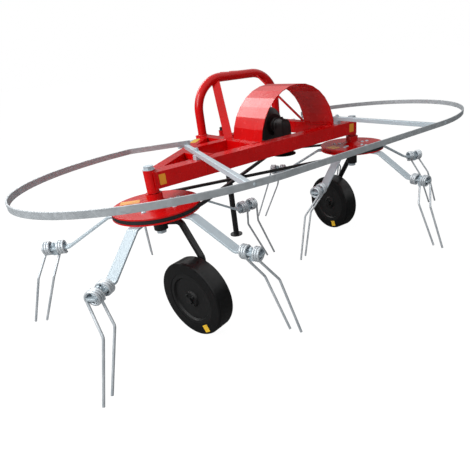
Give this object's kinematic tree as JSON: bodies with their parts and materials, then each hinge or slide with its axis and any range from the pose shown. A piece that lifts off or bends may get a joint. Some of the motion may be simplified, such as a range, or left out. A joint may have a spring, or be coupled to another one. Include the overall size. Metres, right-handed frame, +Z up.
{
  "type": "rotary hay rake",
  "caption": "Small tractor-mounted rotary hay rake with belt-driven tine rotors, guard hoop, castor wheels and a three-point hitch.",
  "frame": {"origin": "on the floor under the middle of the whole reach, 25.45 mm right of half way between the rotor axes", "axes": "+X along the front beam to the right-hand rotor, +Y towards the tractor, +Z up"},
  "size_m": [2.1116, 1.122, 0.893],
  "materials": {
    "red_paint": "gloss",
    "black_paint": "gloss",
    "zinc": "bright zinc plate",
    "galvanised": "dull galvanised",
    "spring_steel": "zinc plate",
    "shaft_steel": "machined",
    "cast_housing": "black",
    "cast_pulley": "black",
    "belt_rubber": "matt",
    "black_plastic": "satin",
    "tyre": "matt"
  },
  "bodies": {
    "frame": {"front_beam": "red_paint", "hub_left": "red_paint", "hub_right": "red_paint", "rail_left": "red_paint", "rail_right": "red_paint", "brace_left": "red_paint", "brace_right": "red_paint", "mid_crossbar": "red_paint", "cross_stub": "red_paint", "rear_crossbar": "red_paint", "hitch_tower": "red_paint", "tower_strap_left": "red_paint", "tower_strap_right": "red_paint", "lower_link_pin_left": "zinc", "lower_link_pin_right": "zinc", "top_link_lugs": "red_paint", "gearbox_plate": "red_paint", "gearbox": "cast_housing", "pto_cone": "black_plastic", "drive_guard": "red_paint", "drive_belt": "belt_rubber", "guard_hoop": "galvanised", "hoop_strut_left": "zinc", "hoop_strut_right": "zinc", "strut_bolt_left": "zinc", "strut_bolt_right": "zinc", "stand_sleeve": "red_paint", "axle_left": "zinc", "axle_right": "zinc"},
    "rotor_left": {"rotor_disc_left": "red_paint", "arms_left": "zinc", "tines_left": "spring_steel", "tine_clamps_left": "zinc"},
    "rotor_right": {"rotor_disc_right": "red_paint", "arms_right": "zinc", "tines_right": "spring_steel", "tine_clamps_right": "zinc"},
    "drive_pulley": {"drive_pulley": "cast_pulley"},
    "pto_shaft": {"pto_stub": "shaft_steel"},
    "castor_left": {"castor_leg_left": "black_paint"},
    "wheel_left": {"tyre_left": "tyre", "wheel_rim_left": "black_plastic"},
    "castor_right": {"castor_leg_right": "black_paint"},
    "wheel_right": {"tyre_right": "tyre", "wheel_rim_right": "black_plastic"},
    "stand": {"stand_leg": "black_paint"}
  },
  "joints": [
    {"name": "rotor_right_spin", "type": "hinge", "parent": "frame", "child": "rotor_right", "pos_m": [0.53455, 0, 0.48], "axis": [0, 0, 1], "continuous": true},
    {"name": "rotor_left_spin", "type": "hinge", "parent": "frame", "child": "rotor_left", "pos_m": [-0.58545, 0, 0.48], "axis": [0, 0, 1], "continuous": true},
    {"name": "drive_pulley_spin", "type": "hinge", "parent": "frame", "child": "drive_pulley", "pos_m": [0.17855, 0.135, 0.514], "axis": [0, 0, 1], "continuous": true},
    {"name": "pto_spin", "type": "hinge", "parent": "frame", "child": "pto_shaft", "pos_m": [0.17855, 0.215, 0.64], "axis": [0, 1, 0], "continuous": true},
    {"name": "castor_left_swivel", "type": "hinge", "parent": "frame", "child": "castor_left", "pos_m": [-0.58545, 0, 0.42], "axis": [0, 0, 1], "continuous": true},
    {"name": "castor_right_swivel", "type": "hinge", "parent": "frame", "child": "castor_right", "pos_m": [0.53455, 0, 0.42], "axis": [0, 0, 1], "continuous": true},
    {"name": "wheel_left_spin", "type": "hinge", "parent": "castor_left", "child": "wheel_left", "pos_m": [-0.56157, -0.14122, 0.15], "axis": [-0.9751, -0.2215, 0], "continuous": true},
    {"name": "wheel_right_spin", "type": "hinge", "parent": "castor_right", "child": "wheel_right", "pos_m": [0.53904, 0.14315, 0.15], "axis": [-0.9962, 0.0872, 0], "continuous": true},
    {"name": "stand_slide", "type": "slide", "parent": "frame", "child": "stand", "axis": [0, 0, 1], "range_m": [0, 0.44]}
  ],
  "couplings": [
    {"joint": "rotor_left_spin", "follows": "rotor_right_spin", "ratio": -1},
    {"joint": "drive_pulley_spin", "follows": "rotor_right_spin", "ratio": 2.9615},
    {"joint": "pto_spin", "follows": "rotor_right_spin", "ratio": -2.9615}
  ]
}
